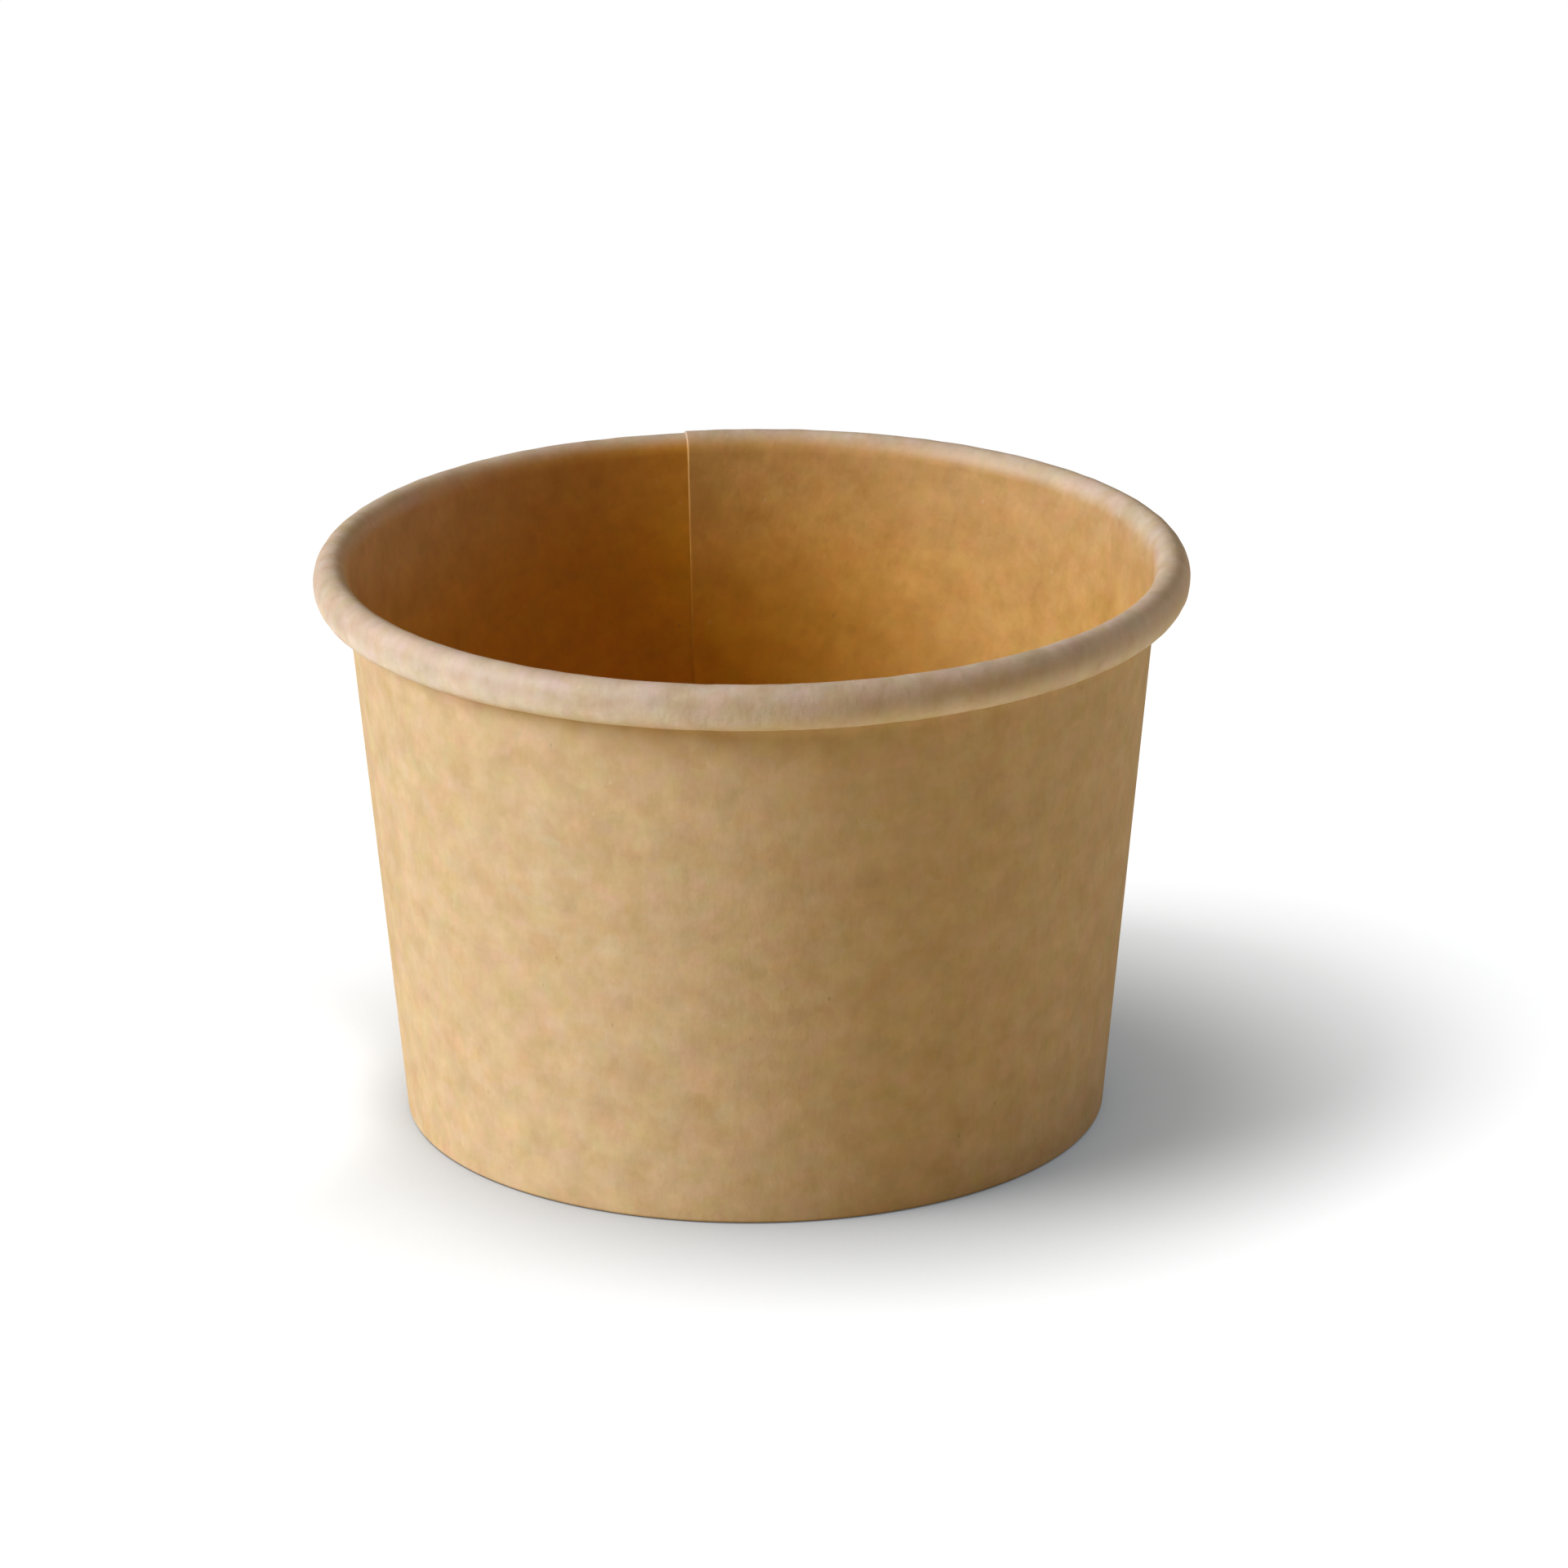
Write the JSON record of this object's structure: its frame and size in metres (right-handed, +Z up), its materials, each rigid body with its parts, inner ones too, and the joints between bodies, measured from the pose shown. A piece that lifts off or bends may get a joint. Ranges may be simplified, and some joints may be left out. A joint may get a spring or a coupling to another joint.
{
  "type": "paper soup cup",
  "caption": "Short, wide kraft paper soup cup with a rolled rim, a lapped side seam and a recessed bottom disc, empty and without its lid.",
  "frame": {"origin": "centre of the base, on the plane that the cup stands on", "axes": "+Z up along the cup's axis, out of the mouth; -Y towards the viewer; the inner seam is at the back, a little to the left, near +Y"},
  "size_m": [0.09, 0.09, 0.0596],
  "materials": {
    "kraft_board": "matte uncoated kraft outside, thin clear coating inside and over the rolled rim",
    "base_board": "matte uncoated kraft underneath, thin clear coating on top"
  },
  "bodies": {
    "root": {"sidewall": "kraft_board", "bottom_disc": "base_board"}
  },
  "joints": []
}
